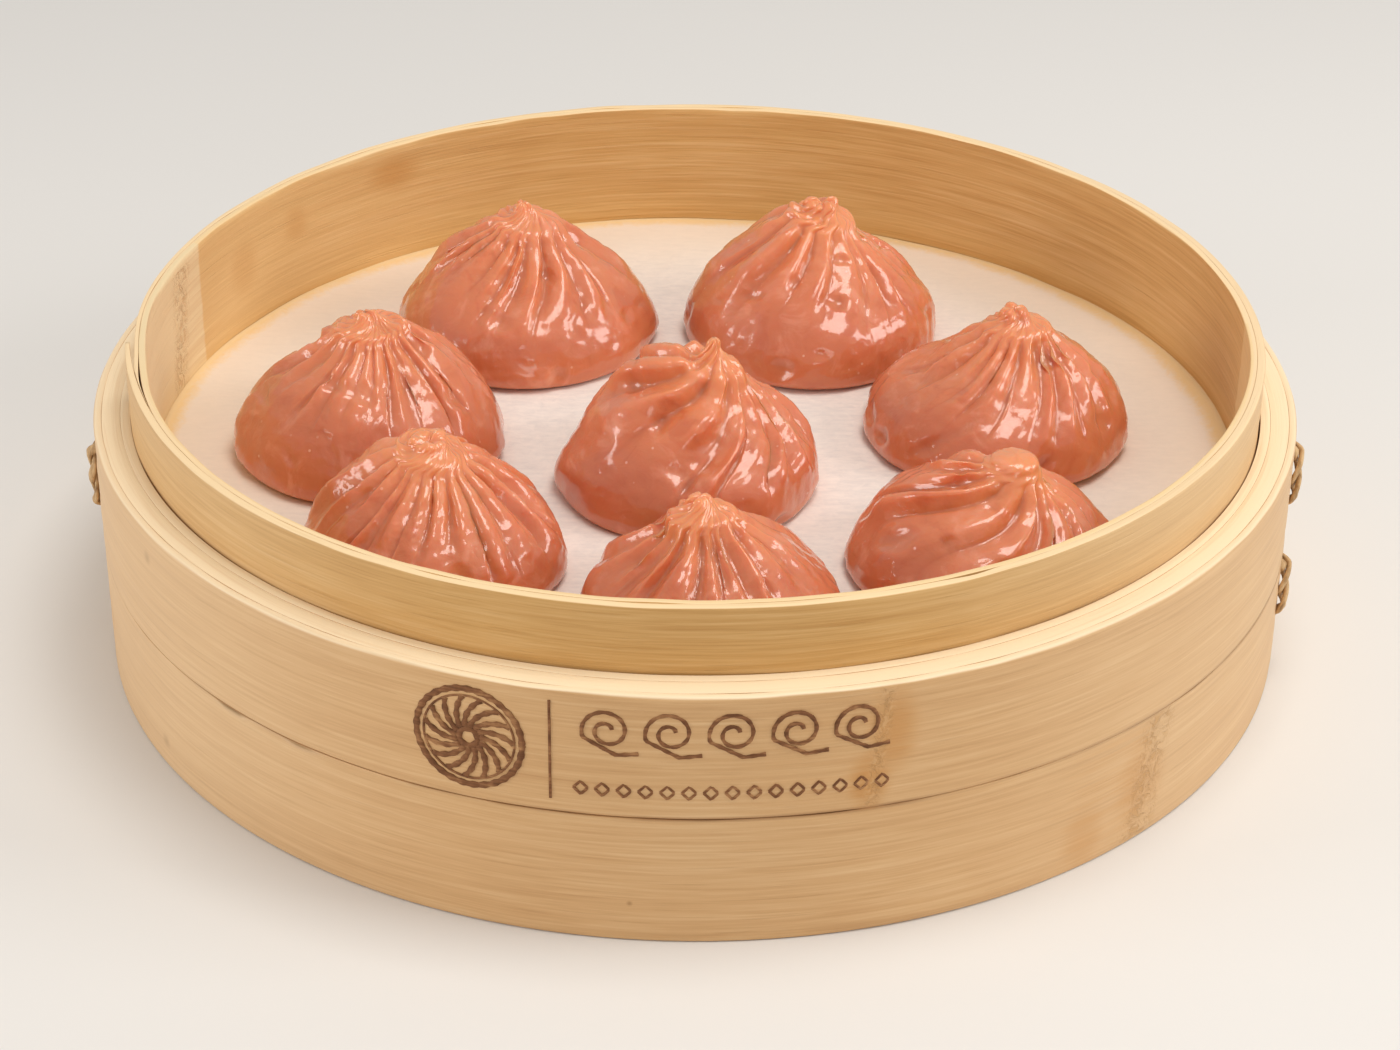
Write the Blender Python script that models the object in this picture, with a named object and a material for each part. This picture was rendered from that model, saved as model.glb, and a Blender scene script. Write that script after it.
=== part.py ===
"""Eight soup dumplings on a round liner in a bamboo steamer basket.

Metres, +Z up. The origin is the centre of the ring on which the basket stands, and -Y is the front.
The walls are bent bamboo strips around one axis: a tall inner hoop that stands proud at the top, two hoops
around it that make the shelf for the next basket or a lid, and an upper and a lower veneer outside those.
"""

import math
import random

import bmesh
import bpy

# Walls
OUTER_RADIUS = 0.1050
RIM_Z = 0.0566
SHELF_Z = 0.0450
SEAM_Z = 0.0231
SEAM_GAP = 0.0004
TOUCH_GAP = 0.0003
VENEER_THICKNESS = 0.0013
OUTER_HOOP_THICKNESS = 0.0027
MIDDLE_HOOP_THICKNESS = 0.0016
INNER_HOOP_THICKNESS = 0.0026
INNER_HOOP_LOW_Z = 0.0120
RING_STEPS = 48

# The radii follow from the outside inwards.
OUTER_HOOP_RADIUS = OUTER_RADIUS - VENEER_THICKNESS - TOUCH_GAP
MIDDLE_HOOP_RADIUS = OUTER_HOOP_RADIUS - OUTER_HOOP_THICKNESS - TOUCH_GAP
INNER_HOOP_RADIUS = MIDDLE_HOOP_RADIUS - MIDDLE_HOOP_THICKNESS - TOUCH_GAP
CAVITY_RADIUS = INNER_HOOP_RADIUS - INNER_HOOP_THICKNESS

# The inner hoop's strip overlaps itself on the left, where its outer ply ends in a free tail.
TAIL_END_DEG = 187.0
TAIL_ROOT_DEG = 206.0
TAIL_LIFT = 0.0004
TAIL_STEPS = 6
PLY_GAP = 0.0002

# Floor
LINER_TOP_Z = 0.0323
LINER_THICKNESS = 0.0006
LINER_RADIUS = 0.0920
FLOOR_RADIUS = CAVITY_RADIUS - 0.0006
SLAT_THICKNESS = 0.0024
SLAT_PITCH = 0.0147
SLAT_GAP = 0.0012
SLAT_COUNT = 13
SLAT_END_STEPS = 3
BATTEN_WIDTH = 0.0090
BATTEN_HEIGHT = 0.0045
BATTEN_X = 0.0340
FLOOR_RING_WIDTH = 0.0026
FLOOR_RING_STEPS = 48

# Cane lashings: (name, angle in degrees, height of the middle, length)
LASHINGS = (
    ("lashing_left", 189.5, 0.0335, 0.0130),
    ("lashing_right_upper", 350.5, 0.0360, 0.0125),
    ("lashing_right_lower", 347.0, 0.0175, 0.0120),
)
LASHING_WIDTH = 0.0030
LASHING_THICKNESS = 0.0019
LASHING_LOBES = 2
LASHING_RINGS = 9
LASHING_SIDES = 6

# Meridian of a dumpling from its foot to its knot: shares of the belly radius, the height and the pleat depth
MERIDIAN = (
    (0.95, 0.000, 0.00),
    (1.00, 0.090, 0.05),
    (0.95, 0.270, 0.35),
    (0.81, 0.475, 0.80),
    (0.61, 0.655, 1.00),
    (0.39, 0.795, 0.80),
    (0.21, 0.890, 0.50),
    (0.13, 0.960, 0.30),
)
BELLY_SHARE = 0.10
KNOT_CROWN = 0.02
PLEAT_DEPTH = 0.0014
# Dumplings that touch flatten against each other, this far apart and rounded off over this length.
NEIGHBOUR_GAP = 0.0005
NEIGHBOUR_SOFTNESS = 0.0012
# One pleat's section: (share of its width, share of its depth). It rises slowly and drops steeply.
PLEAT_SECTION = ((0.00, -0.5), (0.38, 0.2), (0.76, 0.5))
OUTLINE_WAVES = (2, 3)

# (name, x, y, belly radius, height, peak dx, peak dy, pleats, twist in radians, shoulder angle in degrees,
#  shoulder lift as a share of the height)
DUMPLINGS = (
    ("dumpling_back_left", -0.0322, 0.0415, 0.0243, 0.0275, 0.0010, 0.0007, 18, 0.30, 150, 0.03),
    ("dumpling_back_right", 0.0215, 0.0415, 0.0236, 0.0280, 0.0018, 0.0021, 17, 0.35, 180, 0.03),
    ("dumpling_left", -0.0575, -0.0035, 0.0238, 0.0265, 0.0010, 0.0005, 18, 0.10, 20, 0.04),
    ("dumpling_centre", -0.0015, -0.0165, 0.0226, 0.0280, 0.0049, 0.0000, 17, 0.65, 165, 0.10),
    ("dumpling_right", 0.0535, 0.0040, 0.0236, 0.0255, 0.0031, -0.0002, 18, 0.25, 170, 0.05),
    ("dumpling_front_left", -0.0430, -0.0455, 0.0222, 0.0240, 0.0000, 0.0004, 18, 0.15, 120, 0.06),
    ("dumpling_front", 0.0030, -0.0610, 0.0212, 0.0235, -0.0020, -0.0004, 17, 0.10, 0, 0.00),
    ("dumpling_front_right", 0.0480, -0.0440, 0.0226, 0.0225, 0.0051, -0.0014, 17, 0.75, 160, 0.10),
)

BAMBOO = ("bamboo", (0.70, 0.48, 0.25), 0.55)
PALE_BAMBOO = ("pale_bamboo", (0.80, 0.60, 0.35), 0.55)
CANE = ("cane", (0.58, 0.42, 0.26), 0.60)
LINER = ("liner", (0.86, 0.78, 0.70), 0.80)
DOUGH = ("dough", (0.68, 0.22, 0.10), 0.25)


def clear_scene():
    for found in list(bpy.data.objects):
        bpy.data.objects.remove(found)


def material(look):
    """The Principled material of that look, made once."""
    name, colour, roughness = look
    made = bpy.data.materials.get(name)
    if made is None:
        made = bpy.data.materials.new(name)
        made.use_nodes = True
        shader = made.node_tree.nodes["Principled BSDF"]
        shader.inputs["Base Color"].default_value = (*colour, 1.0)
        shader.inputs["Roughness"].default_value = roughness
        shader.inputs["Metallic"].default_value = 0.0
    return made


def add_object(name, shape, look, sharp_deg=40.0):
    """A scene object from a bmesh, its faces turned outwards and its round sides shaded smooth."""
    bmesh.ops.recalc_face_normals(shape, faces=shape.faces)
    mesh = bpy.data.meshes.new(name)
    shape.to_mesh(mesh)
    shape.free()
    mesh.shade_smooth()
    mesh.set_sharp_from_angle(angle=math.radians(sharp_deg))
    mesh.materials.append(material(look))
    made = bpy.data.objects.new(name, mesh)
    bpy.context.scene.collection.objects.link(made)
    return made


def bridge(shape, first, second, closed=True):
    """Quads between two rows of vertices of the same length."""
    count = len(first)
    for i in range(count if closed else count - 1):
        j = (i + 1) % count
        shape.faces.new((first[i], first[j], second[j], second[i]))


def loft(rows):
    """A closed skin through rows of points, with a flat face over each end row."""
    shape = bmesh.new()
    rings = [[shape.verts.new(point) for point in row] for row in rows]
    for lower, upper in zip(rings, rings[1:]):
        bridge(shape, lower, upper)
    shape.faces.new(rings[0])
    shape.faces.new(rings[-1])
    return shape


def turned_ring(inner, outer, low, high, steps=RING_STEPS):
    """A rectangular section carried once round the Z axis."""
    shape = bmesh.new()
    sections = []
    for i in range(steps):
        angle = 2 * math.pi * i / steps
        c, s = math.cos(angle), math.sin(angle)
        corners = ((inner, low), (outer, low), (outer, high), (inner, high))
        sections.append([shape.verts.new((radius * c, radius * s, z)) for radius, z in corners])
    for i in range(steps):
        bridge(shape, sections[i], sections[(i + 1) % steps])
    return shape


def strip_loop(stations, low, high):
    """A strip that follows stations (angle, inner radius, outer radius), with its two ends cut square."""
    rows = []
    for angle, inner, outer in stations:
        c, s = math.cos(angle), math.sin(angle)
        rows.append(
            (
                (inner * c, inner * s, low),
                (outer * c, outer * s, low),
                (outer * c, outer * s, high),
                (inner * c, inner * s, high),
            )
        )
    return loft(rows)


def inner_hoop_stations():
    """Clockwise from the hidden inner end, once round at full thickness, then out along the free tail."""
    root, end = math.radians(TAIL_ROOT_DEG), math.radians(TAIL_END_DEG)
    ply = (INNER_HOOP_THICKNESS - PLY_GAP) / 2
    stations = []
    for i in range(TAIL_STEPS + 1):
        angle = root + (end - root) * i / TAIL_STEPS
        stations.append((angle, CAVITY_RADIUS, CAVITY_RADIUS + ply))
    for i in range(1, RING_STEPS - 4):
        angle = end - (2 * math.pi - (root - end)) * i / (RING_STEPS - 4)
        stations.append((angle, CAVITY_RADIUS, INNER_HOOP_RADIUS))
    for i in range(TAIL_STEPS + 1):
        share = i / TAIL_STEPS
        angle = root - 2 * math.pi + (end - root) * share
        lift = TAIL_LIFT * share * share
        inner = INNER_HOOP_RADIUS - ply + lift
        stations.append((angle, inner, INNER_HOOP_RADIUS + lift * 0.2))
    return stations


def make_walls():
    add_object(
        "hoop_inner",
        strip_loop(inner_hoop_stations(), INNER_HOOP_LOW_Z, RIM_Z),
        PALE_BAMBOO,
    )
    rings = (
        ("hoop_middle", MIDDLE_HOOP_RADIUS, MIDDLE_HOOP_THICKNESS, 0.0, SHELF_Z),
        ("hoop_outer", OUTER_HOOP_RADIUS, OUTER_HOOP_THICKNESS, 0.0, SHELF_Z),
        ("veneer_upper", OUTER_RADIUS, VENEER_THICKNESS, SEAM_Z + SEAM_GAP / 2, SHELF_Z),
        ("veneer_lower", OUTER_RADIUS, VENEER_THICKNESS, 0.0, SEAM_Z - SEAM_GAP / 2),
    )
    for name, radius, thickness, low, high in rings:
        add_object(name, turned_ring(radius - thickness, radius, low, high), BAMBOO)


def prism(outline, low, high):
    """A flat outline raised from low to high."""
    return loft([[(x, y, z) for x, y in outline] for z in (low, high)])


def slat_outline(middle, width):
    """A slat along X whose ends follow the round wall, as corners in order."""
    sides = (middle - width / 2, middle + width / 2)
    heights = [sides[0] + (sides[1] - sides[0]) * i / SLAT_END_STEPS for i in range(SLAT_END_STEPS + 1)]
    right = [(math.sqrt(FLOOR_RADIUS**2 - y * y), y) for y in heights]
    left = [(-x, y) for x, y in reversed(right)]
    return right + left


def make_floor():
    top = LINER_TOP_Z - LINER_THICKNESS - TOUCH_GAP
    low = top - SLAT_THICKNESS
    width = SLAT_PITCH - SLAT_GAP
    for i in range(SLAT_COUNT):
        middle = (i - (SLAT_COUNT - 1) / 2) * SLAT_PITCH
        # The first and last slats are narrower, so that they stay inside the wall.
        limit = FLOOR_RADIUS - 0.002
        near, far = max(middle - width / 2, -limit), min(middle + width / 2, limit)
        outline = slat_outline((near + far) / 2, far - near)
        add_object(f"floor_slat_{i + 1:02d}", prism(outline, low, top), BAMBOO)
    ring_top = low - TOUCH_GAP
    ring_inner = FLOOR_RADIUS - FLOOR_RING_WIDTH
    add_object(
        "floor_ring",
        turned_ring(ring_inner, FLOOR_RADIUS, ring_top - BATTEN_HEIGHT, ring_top, FLOOR_RING_STEPS),
        BAMBOO,
    )
    for side, name in ((-1, "floor_batten_left"), (1, "floor_batten_right")):
        outer_x = BATTEN_X + BATTEN_WIDTH / 2
        half = math.sqrt((ring_inner * math.cos(math.pi / FLOOR_RING_STEPS)) ** 2 - outer_x**2) - TOUCH_GAP
        x0, x1 = side * BATTEN_X - BATTEN_WIDTH / 2, side * BATTEN_X + BATTEN_WIDTH / 2
        outline = [(x0, -half), (x1, -half), (x1, half), (x0, half)]
        add_object(name, prism(outline, ring_top - BATTEN_HEIGHT, ring_top), BAMBOO)


def make_liner():
    outline = []
    for i in range(RING_STEPS):
        angle = 2 * math.pi * i / RING_STEPS
        outline.append((LINER_RADIUS * math.cos(angle), LINER_RADIUS * math.sin(angle)))
    add_object("liner", prism(outline, LINER_TOP_Z - LINER_THICKNESS, LINER_TOP_Z), LINER)


def make_lashing(name, angle_deg, middle_z, length):
    """A pair of cane strands twisted together against the wall, thin where they cross and at both ends."""
    angle = math.radians(angle_deg)
    centre_radius = OUTER_RADIUS + TOUCH_GAP + LASHING_THICKNESS / 2
    rows = []
    for i in range(LASHING_RINGS):
        share = i / (LASHING_RINGS - 1)
        lobe = abs(math.sin(math.pi * LASHING_LOBES * share))
        size = 0.45 + 0.55 * lobe
        row = []
        for k in range(LASHING_SIDES):
            turn = 2 * math.pi * k / LASHING_SIDES
            across = LASHING_WIDTH / 2 * size * math.cos(turn)
            out = centre_radius + LASHING_THICKNESS / 2 * size * math.sin(turn)
            x = out * math.cos(angle) - across * math.sin(angle)
            y = out * math.sin(angle) + across * math.cos(angle)
            row.append((x, y, middle_z + length * (share - 0.5)))
        rows.append(row)
    add_object(name, loft(rows), CANE)


def smooth(share):
    share = min(max(share, 0.0), 1.0)
    return share * share * (3 - 2 * share)


def pleat_columns(pleats, dice):
    """(angle, depth share) of each column of points: unevenly wide pleats, each with its cross-section."""
    edges = [2 * math.pi * (i + dice.uniform(-0.18, 0.18)) / pleats for i in range(pleats)]
    depths = [dice.uniform(0.65, 1.25) for _ in range(pleats)]
    columns = []
    for i in range(pleats):
        start = edges[i]
        end = edges[(i + 1) % pleats] + (2 * math.pi if i == pleats - 1 else 0.0)
        for share, depth in PLEAT_SECTION:
            columns.append((start + (end - start) * share, depth * depths[i]))
    return columns


def outline_waves(dice):
    """The small uneven waves of a belly's outline: (waves round it, share of the radius, phase)."""
    return [(n, dice.uniform(0.008, 0.020), dice.uniform(0, 2 * math.pi)) for n in OUTLINE_WAVES]


def neighbours_of(name):
    """(unit x, unit y, limit) of each plane that a nearby dumpling keeps this one behind."""
    place = {dumpling[0]: dumpling[1:4] for dumpling in DUMPLINGS}
    x, y, radius = place.pop(name)
    planes = []
    for other_x, other_y, other_radius in place.values():
        dx, dy = other_x - x, other_y - y
        distance = math.hypot(dx, dy)
        limit = distance * radius / (radius + other_radius) - NEIGHBOUR_GAP / 2
        if limit < radius * 1.15:
            planes.append((dx / distance, dy / distance, limit))
    return planes


def held_back(dx, dy, planes):
    """An offset from the dumpling's centre, moved behind each neighbour's plane without a hard edge."""
    for unit_x, unit_y, limit in planes:
        along = dx * unit_x + dy * unit_y
        excess = along - limit + NEIGHBOUR_SOFTNESS
        if excess > 0:
            kept = limit - NEIGHBOUR_SOFTNESS * math.exp(-excess / NEIGHBOUR_SOFTNESS)
            dx += (kept - along) * unit_x
            dy += (kept - along) * unit_y
    return dx, dy


def make_dumpling(name, x, y, radius, height, peak_dx, peak_dy, pleats, twist, shoulder_deg, shoulder_lift):
    """A pleated dumpling: rings of points up its meridian, drawn together and twisted into a knot."""
    planes = neighbours_of(name)
    dice = random.Random(name)
    columns = pleat_columns(pleats, dice)
    waves = outline_waves(dice)
    shoulder = math.radians(shoulder_deg)
    foot = LINER_TOP_Z + TOUCH_GAP
    rows = []
    for radius_share, height_share, pleat_share in MERIDIAN:
        lean = smooth(height_share)
        above = height_share > BELLY_SHARE
        swirl = twist * (1 - radius_share) if above else 0.0
        bulge = shoulder_lift * math.sin(math.pi * radius_share) if above else 0.0
        row = []
        for angle, depth in columns:
            turned = angle + swirl
            uneven = 1 + sum(size * math.cos(n * (turned - phase)) for n, size, phase in waves)
            fold = PLEAT_DEPTH * pleat_share * depth
            out = radius * radius_share * uneven + fold * 0.6
            lift = bulge * max(math.cos(turned - shoulder), 0.0)
            dx, dy = held_back(
                peak_dx * lean + out * math.cos(turned),
                peak_dy * lean + out * math.sin(turned),
                planes,
            )
            up = height * (height_share + lift) + fold * 0.8
            row.append((x + dx, y + dy, foot + max(up, 0.0)))
        rows.append(row)
    shape = loft(rows)
    shape.faces.ensure_lookup_table()
    bmesh.ops.poke(shape, faces=[shape.faces[-1]], offset=height * KNOT_CROWN)
    add_object(name, shape, DOUGH, sharp_deg=60.0)


def main():
    clear_scene()
    make_walls()
    make_floor()
    make_liner()
    for lashing in LASHINGS:
        make_lashing(*lashing)
    for dumpling in DUMPLINGS:
        make_dumpling(*dumpling)


main()
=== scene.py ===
"""Looks for the soup dumplings in their bamboo steamer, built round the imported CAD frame."""

import math

import bpy
import numpy as np
from mathutils import Matrix, Vector


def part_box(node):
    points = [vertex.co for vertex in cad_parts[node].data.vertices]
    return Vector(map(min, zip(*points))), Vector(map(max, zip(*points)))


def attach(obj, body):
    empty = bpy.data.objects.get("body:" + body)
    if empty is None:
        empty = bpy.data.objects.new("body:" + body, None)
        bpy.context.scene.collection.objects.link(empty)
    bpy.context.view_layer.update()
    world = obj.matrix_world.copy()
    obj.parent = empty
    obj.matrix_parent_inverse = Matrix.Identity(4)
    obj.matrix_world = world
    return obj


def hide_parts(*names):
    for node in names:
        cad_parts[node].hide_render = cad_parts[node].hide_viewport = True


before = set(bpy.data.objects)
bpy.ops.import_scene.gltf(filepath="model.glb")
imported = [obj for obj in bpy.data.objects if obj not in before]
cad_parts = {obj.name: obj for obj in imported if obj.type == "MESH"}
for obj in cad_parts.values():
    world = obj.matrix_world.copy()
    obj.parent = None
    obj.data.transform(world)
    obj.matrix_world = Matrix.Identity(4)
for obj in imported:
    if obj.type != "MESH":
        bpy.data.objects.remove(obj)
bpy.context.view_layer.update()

MM = 0.001
TURN = 2 * math.pi


# ---- the frame's sizes


def radius_of(node):
    low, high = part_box(node)
    return (high[0] - low[0]) / 2


OUTER_RADIUS = radius_of("veneer_upper")
SHELF_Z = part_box("veneer_upper")[1][2]
RIM_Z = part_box("hoop_inner")[1][2]
SEAM_Z = (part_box("veneer_upper")[0][2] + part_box("veneer_lower")[1][2]) / 2
LINER_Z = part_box("liner")[1][2]
HOOP_LOW_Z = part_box("hoop_inner")[0][2]
CAVITY_RADIUS = 95.9 * MM  # inside of the standing hoop

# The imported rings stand 0.3 mm apart. These close most of that gap, so that only a thin line shows.
INNER_PLY = (CAVITY_RADIUS, CAVITY_RADIUS + 1.20 * MM)
OUTER_PLY = (CAVITY_RADIUS + 1.22 * MM, CAVITY_RADIUS + 2.60 * MM)
MIDDLE_HOOP = (98.78 * MM, 100.48 * MM)
OUTER_HOOP = (100.50 * MM, 103.68 * MM)
VENEER = (103.70 * MM, OUTER_RADIUS)


# ---- camera and light


def linked(name, data):
    """A new object that holds the data, in the scene."""
    made = bpy.data.objects.new(name, data)
    bpy.context.scene.collection.objects.link(made)
    return made


def make_camera():
    """The photograph's view: a little above the table, on a longish lens, turned slightly."""
    distance = 5.4074 * OUTER_RADIUS
    elevation = 0.5202
    roll = -0.0118
    look_z = 0.1386 * OUTER_RADIUS
    side_x = 0.01 * OUTER_RADIUS
    right = Vector((1, 0, 0))
    up = Vector((0, math.sin(elevation), math.cos(elevation)))
    forward = Vector((0, math.cos(elevation), -math.sin(elevation)))
    x_axis = math.cos(roll) * right - math.sin(roll) * up
    y_axis = math.sin(roll) * right + math.cos(roll) * up
    place = Vector((side_x, 0, look_z)) - forward * distance
    matrix = Matrix((x_axis, y_axis, -forward)).transposed().to_4x4()
    matrix.translation = place
    camera = linked("camera", bpy.data.cameras.new("camera"))
    camera.data.lens = 80.2
    camera.data.sensor_width = 36
    camera.data.clip_start = 0.01
    camera.matrix_world = matrix
    bpy.context.scene.camera = camera


def area_light(name, place, target, size, power, colour):
    lamp = bpy.data.lights.new(name, "AREA")
    lamp.shape = "RECTANGLE"
    lamp.size, lamp.size_y = size
    lamp.energy = power
    lamp.color = colour
    made = linked(name, lamp)
    made.location = place
    made.rotation_euler = (Vector(target) - Vector(place)).to_track_quat("-Z", "Y").to_euler()


def make_studio():
    """A pale floor, a bright soft surround and large soft lamps, the strongest from above on the right."""
    middle = (0, 0, 0.04)
    warm = (1.0, 0.955, 0.90)
    paler = (1.0, 0.975, 0.94)
    area_light("lamp_top", (0.14, -0.06, 0.85), middle, (0.40, 0.34), 3.05, warm)
    area_light("lamp_right", (0.78, -0.14, 0.46), middle, (0.36, 0.36), 2.75, paler)
    area_light("lamp_left", (-0.80, -0.22, 0.24), middle, (0.36, 0.30), 2.2, paler)
    area_light("lamp_front", (0.10, -0.90, 0.34), middle, (0.30, 0.20), 0.5, warm)
    world = bpy.data.worlds.new("studio")
    world.use_nodes = True
    background = world.node_tree.nodes["Background"]
    background.inputs["Color"].default_value = (1.0, 0.965, 0.93, 1)
    background.inputs["Strength"].default_value = 0.46
    scene = bpy.context.scene
    scene.world = world
    scene.view_settings.view_transform = "Standard"
    scene.view_settings.look = "None"
    scene.view_settings.exposure = 0.0

    floor = bpy.data.meshes.new("studio_floor")
    reach = 3.0
    corners = [(-reach, -reach, 0), (reach, -reach, 0), (reach, reach, 0), (-reach, reach, 0)]
    floor.from_pydata(corners, [], [(0, 1, 2, 3)])
    made = linked("studio_floor", floor)
    made.location.z = -0.1 * MM
    paint = bpy.data.materials.new("studio_floor")
    paint.use_nodes = True
    shader = paint.node_tree.nodes["Principled BSDF"]
    shader.inputs["Base Color"].default_value = (0.80, 0.79, 0.77, 1)
    shader.inputs["Roughness"].default_value = 0.7
    floor.materials.append(paint)


# ---- materials

# Linear colours. The bamboos' grain is (dark, middle, light); then the cut edges, stains, pale parts, and
# painted light and shade
TAN = ((0.57, 0.315, 0.130), (0.69, 0.418, 0.192), (0.775, 0.510, 0.262))
GOLD = ((0.52, 0.27, 0.075), (0.66, 0.385, 0.135), (0.75, 0.480, 0.210))
FLOOR_TAN = ((0.46, 0.25, 0.10), (0.66, 0.42, 0.21), (0.78, 0.55, 0.32))
FLOOR_RING_TAN = ((0.46, 0.25, 0.10), (0.64, 0.40, 0.20), (0.76, 0.52, 0.30))
CREAM = (0.96, 0.80, 0.55)
WARM_CREAM = (0.96, 0.73, 0.43)
FLOOR_CREAM = (0.80, 0.58, 0.34)
# painted shade: the dark band that stands for the shade in the gap between the veneers
SEAM_SHADE = (0.34, 0.155, 0.050)
KNOT_BROWN = (0.36, 0.17, 0.055)
SCAR_BROWN = (0.60, 0.335, 0.130)
# painted light: the inside of the hoop's left, which faces the lamp on the right
LIT_SIDE_GOLD = (0.84, 0.60, 0.29)
WASHED_PALE = (0.84, 0.675, 0.41)
# painted light: bounce from the liner on the lowest part of the hoop's inside
LINER_BOUNCE_GOLD = (0.82, 0.54, 0.21)
# painted light: paler towards the wall's left and right, where it turns to the side lamps
SIDE_LIGHT_PALE = (0.83, 0.635, 0.41)


class Nodes:
    """Builds a material's node tree: each call adds a node and returns its main output."""

    def __init__(self, name):
        self.material = bpy.data.materials.new(name)
        self.material.use_nodes = True
        self.tree = self.material.node_tree
        self.shader = self.tree.nodes["Principled BSDF"]

    def link(self, value, socket):
        if isinstance(value, bpy.types.NodeSocket):
            self.tree.links.new(value, socket)
        elif isinstance(value, (tuple, list)) and len(value) == 3 and socket.type == "RGBA":
            socket.default_value = (*value, 1)
        else:
            socket.default_value = value

    def add(self, kind, **inputs):
        made = self.tree.nodes.new(kind)
        for key, value in inputs.items():
            self.link(value, made.inputs[key.replace("_", " ")])
        return made

    def math(self, operation, a, b=0.0):
        made = self.tree.nodes.new("ShaderNodeMath")
        made.operation = operation
        self.link(a, made.inputs[0])
        self.link(b, made.inputs[1])
        return made.outputs[0]

    def plus(self, a, b):
        return self.math("ADD", a, b)

    def minus(self, a, b):
        return self.math("SUBTRACT", a, b)

    def times(self, a, b):
        return self.math("MULTIPLY", a, b)

    def weighted(self, *terms):
        """The sum of (value, weight) terms."""
        total = self.times(*terms[0])
        for term in terms[1:]:
            total = self.plus(total, self.times(*term))
        return total

    def from_axis(self, x, y):
        return self.math("SQRT", self.plus(self.times(x, x), self.times(y, y)))

    def vector_math(self, operation, a, b=(0, 0, 0)):
        made = self.tree.nodes.new("ShaderNodeVectorMath")
        made.operation = operation
        self.link(a, made.inputs[0])
        made.inputs[1].default_value = b
        return made

    def vector(self, x, y, z):
        return self.add("ShaderNodeCombineXYZ", X=x, Y=y, Z=z).outputs[0]

    def object_place(self):
        return self.add("ShaderNodeTexCoord").outputs["Object"]

    def split(self, vector):
        return self.add("ShaderNodeSeparateXYZ", Vector=vector).outputs

    def map_uv(self, name):
        made = self.tree.nodes.new("ShaderNodeUVMap")
        made.uv_map = name
        return made.outputs[0]

    def noise(self, vector, scale=1.0, detail=3.0, roughness=0.55, w=None, distortion=0.0):
        made = self.tree.nodes.new("ShaderNodeTexNoise")
        made.noise_dimensions = "3D" if w is None else "4D"
        self.link(vector, made.inputs["Vector"])
        if w is not None:
            self.link(w, made.inputs["W"])
        made.inputs["Scale"].default_value = scale
        made.inputs["Detail"].default_value = detail
        made.inputs["Roughness"].default_value = roughness
        made.inputs["Distortion"].default_value = distortion
        return made.outputs["Fac"]

    def ramp(self, value, *stops):
        """A colour ramp through (place, colour) stops."""
        made = self.tree.nodes.new("ShaderNodeValToRGB")
        self.link(value, made.inputs[0])
        points = made.color_ramp.elements
        while len(points) < len(stops):
            points.new(0.5)
        for point, (place, colour) in zip(points, stops):
            point.position = place
            point.color = (*colour, 1)
        return made.outputs[0]

    def between(self, value, low, high):
        """0 below low, 1 above high, smooth between; low may be the greater."""
        made = self.tree.nodes.new("ShaderNodeMapRange")
        made.interpolation_type = "SMOOTHSTEP"
        flip = low > high
        self.link(value, made.inputs["Value"])
        made.inputs["From Min"].default_value = min(low, high)
        made.inputs["From Max"].default_value = max(low, high)
        made.inputs["To Min"].default_value = 1.0 if flip else 0.0
        made.inputs["To Max"].default_value = 0.0 if flip else 1.0
        return made.outputs[0]

    def mix(self, share, first, second):
        made = self.tree.nodes.new("ShaderNodeMix")
        made.data_type = "RGBA"
        self.link(share, made.inputs[0])
        self.link(first, made.inputs[6])
        self.link(second, made.inputs[7])
        return made.outputs[2]

    def tint(self, colour, paint, share, strength=1.0):
        """The colour with paint over it, as thick as share times strength."""
        if strength != 1.0:
            share = self.times(share, strength)
        return self.mix(share, colour, paint)

    def bump(self, height, distance, strength):
        return self.add("ShaderNodeBump", Height=height, Distance=distance, Strength=strength).outputs[0]

    def surface(self, **inputs):
        for key, value in inputs.items():
            self.link(value, self.shader.inputs[key.replace("_", " ")])
        return self.material


def near_point(nodes, place, point, reach, stretch=(1, 1, 1)):
    """1 at a point, fading to 0 at reach from it; stretch above 1 shortens the reach along an axis."""
    offset = nodes.vector_math("SUBTRACT", place, point).outputs[0]
    scaled = nodes.vector_math("MULTIPLY", offset, stretch).outputs[0]
    return nodes.between(nodes.vector_math("LENGTH", scaled).outputs["Value"], reach, 0.0)


def on_wall(radius, angle_deg, z):
    angle = math.radians(angle_deg)
    return (radius * math.cos(angle), radius * math.sin(angle), z)


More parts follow.
